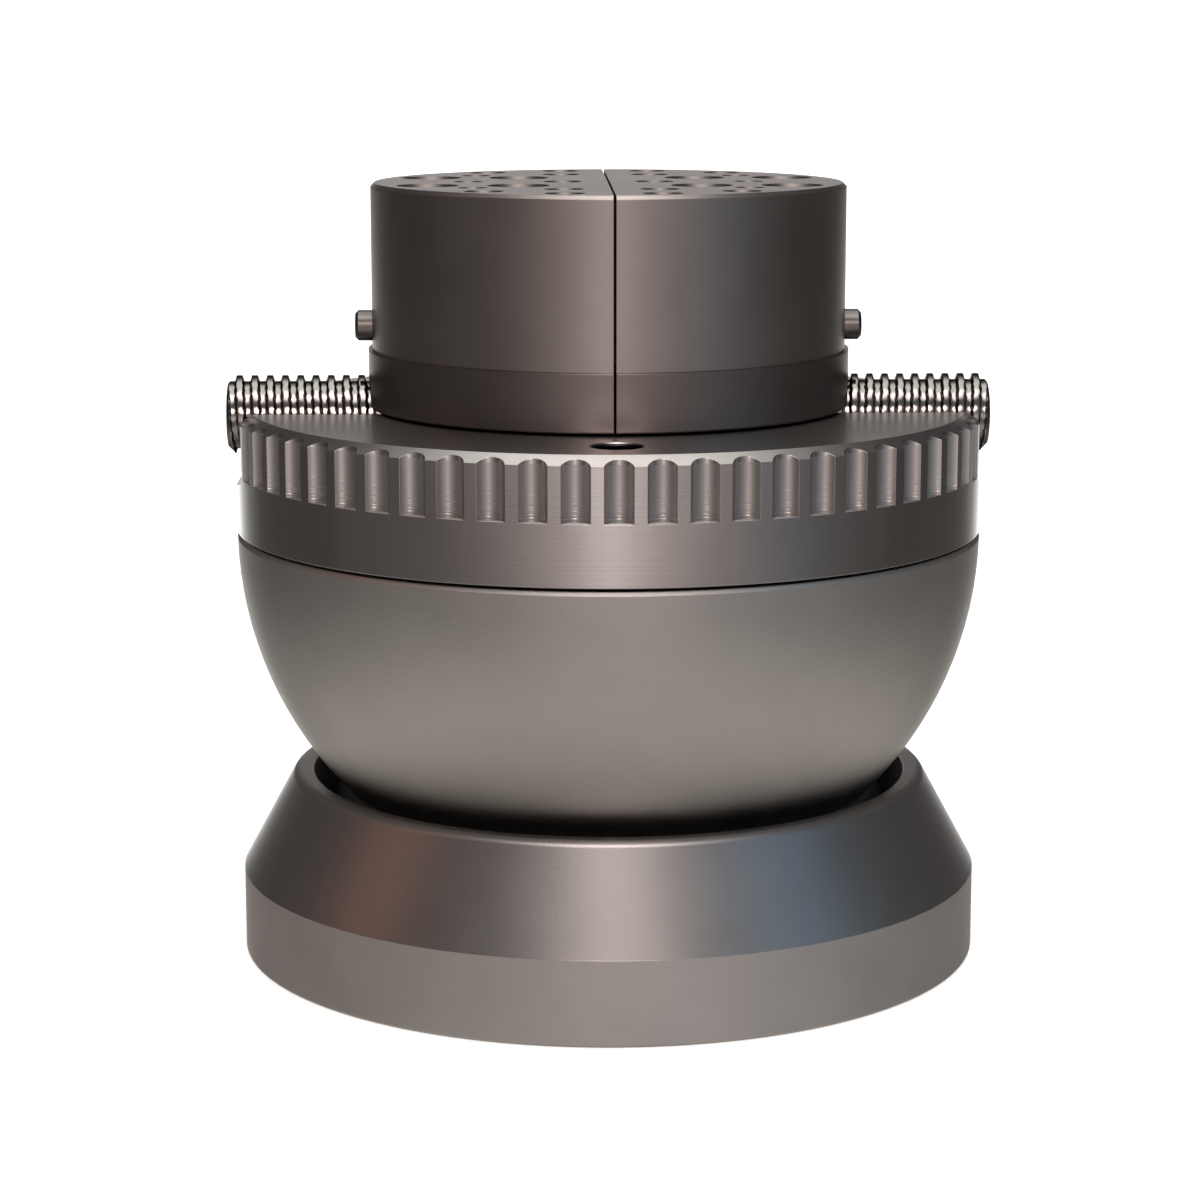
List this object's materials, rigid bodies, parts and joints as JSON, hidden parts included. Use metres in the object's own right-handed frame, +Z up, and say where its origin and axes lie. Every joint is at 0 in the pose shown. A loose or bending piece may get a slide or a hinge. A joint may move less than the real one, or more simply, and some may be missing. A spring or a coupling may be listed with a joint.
{
  "type": "ball vise",
  "caption": "Round engraver's ball vise: a half ball tilts in a weighted base ring, and a turning head carries two drilled half-round jaws on a double-ended lead screw.",
  "frame": {"origin": "centre of the base ring's flat underside", "axes": "+Z up; X along the lead screw, +X towards its left-hand thread; -Y is the side with the brake screw"},
  "size_m": [0.1, 0.098, 0.1016],
  "materials": {
    "base_steel": "satin turned dark gunmetal",
    "ball_steel": "fine blasted warm grey gunmetal",
    "head_steel": "turned semi-gloss dark gunmetal",
    "jaw_steel": "ground dark bronze-grey",
    "set_screw_steel": "plain grey steel",
    "bright_chrome": "polished hard chrome",
    "bearing_steel": "ground and polished",
    "ground_steel": "ground",
    "black_steel": "black oxide",
    "bronze": "machined bearing bronze",
    "seat_plastic": "black nylon",
    "rubber": "matt black rubber"
  },
  "bodies": {
    "base": {"base_ring": "base_steel", "base_pad": "rubber"},
    "seat": {"seat_ring": "seat_plastic"},
    "ball": {"ball": "ball_steel", "upper_outer_race": "bearing_steel", "lower_outer_race": "bearing_steel", "clamp_ring": "ground_steel", "clamp_ring_screws": "black_steel"},
    "head": {"head": "head_steel", "spindle": "ground_steel", "spindle_screws": "black_steel", "upper_inner_race": "bearing_steel", "lower_inner_race": "bearing_steel", "bearing_spacer": "ground_steel", "retaining_washer": "ground_steel", "retaining_bolt": "black_steel", "screw_yoke": "bronze", "yoke_cap": "bronze", "yoke_screws": "black_steel"},
    "upper_cage": {"upper_cage": "bronze", "upper_balls": "bearing_steel"},
    "lower_cage": {"lower_cage": "bronze", "lower_balls": "bearing_steel"},
    "brake_plug": {"brake_plug": "seat_plastic"},
    "brake_screw": {"brake_screw": "black_steel"},
    "lead_screw": {"lead_screw": "bright_chrome"},
    "left_jaw": {"left_jaw": "jaw_steel", "left_jaw_carriage": "jaw_steel", "left_jaw_nut": "bronze", "left_nut_screws": "black_steel", "left_jaw_dowels": "ground_steel", "left_jaw_set_screw": "set_screw_steel"},
    "right_jaw": {"right_jaw": "jaw_steel", "right_jaw_carriage": "jaw_steel", "right_jaw_nut": "bronze", "right_nut_screws": "black_steel", "right_jaw_dowels": "ground_steel", "right_jaw_set_screw": "set_screw_steel"}
  },
  "joints": [
    {"name": "seat_turn", "type": "hinge", "parent": "base", "child": "seat", "pos_m": [0, 0, 0.0562], "axis": [0, 0, 1], "continuous": true},
    {"name": "ball_tilt", "type": "hinge", "parent": "seat", "child": "ball", "pos_m": [0, 0, 0.0562], "axis": [1, 0, 0], "range_deg": [-40, 40]},
    {"name": "head_turn", "type": "hinge", "parent": "ball", "child": "head", "pos_m": [0, 0, 0.0562], "axis": [0, 0, 1], "continuous": true},
    {"name": "upper_cage_turn", "type": "hinge", "parent": "ball", "child": "upper_cage", "pos_m": [0, 0, 0.0457], "axis": [0, 0, 1], "continuous": true},
    {"name": "lower_cage_turn", "type": "hinge", "parent": "ball", "child": "lower_cage", "pos_m": [0, 0, 0.0267], "axis": [0, 0, 1], "continuous": true},
    {"name": "screw_turn", "type": "hinge", "parent": "head", "child": "lead_screw", "pos_m": [0, 0, 0.0711], "axis": [1, 0, 0], "range_deg": [0, 2700]},
    {"name": "left_jaw_slide", "type": "slide", "parent": "head", "child": "left_jaw", "axis": [-1, 0, 0], "range_m": [0, 0.015]},
    {"name": "right_jaw_slide", "type": "slide", "parent": "head", "child": "right_jaw", "axis": [1, 0, 0], "range_m": [0, 0.015]},
    {"name": "brake_plug_slide", "type": "slide", "parent": "head", "child": "brake_plug", "axis": [0, 0, -1], "range_m": [0, 0.00025]},
    {"name": "brake_turn", "type": "hinge", "parent": "brake_plug", "child": "brake_screw", "pos_m": [0, -0.0395, 0.0658], "axis": [0, 0, -1], "range_deg": [0, 90]}
  ],
  "couplings": [
    {"joint": "upper_cage_turn", "follows": "head_turn", "ratio": 0.40833},
    {"joint": "lower_cage_turn", "follows": "head_turn", "ratio": 0.40769},
    {"joint": "screw_turn", "follows": "left_jaw_slide", "rad_per_m": 3141.6},
    {"joint": "right_jaw_slide", "follows": "left_jaw_slide", "ratio": 1},
    {"joint": "brake_turn", "follows": "brake_plug_slide", "rad_per_m": 6283}
  ]
}
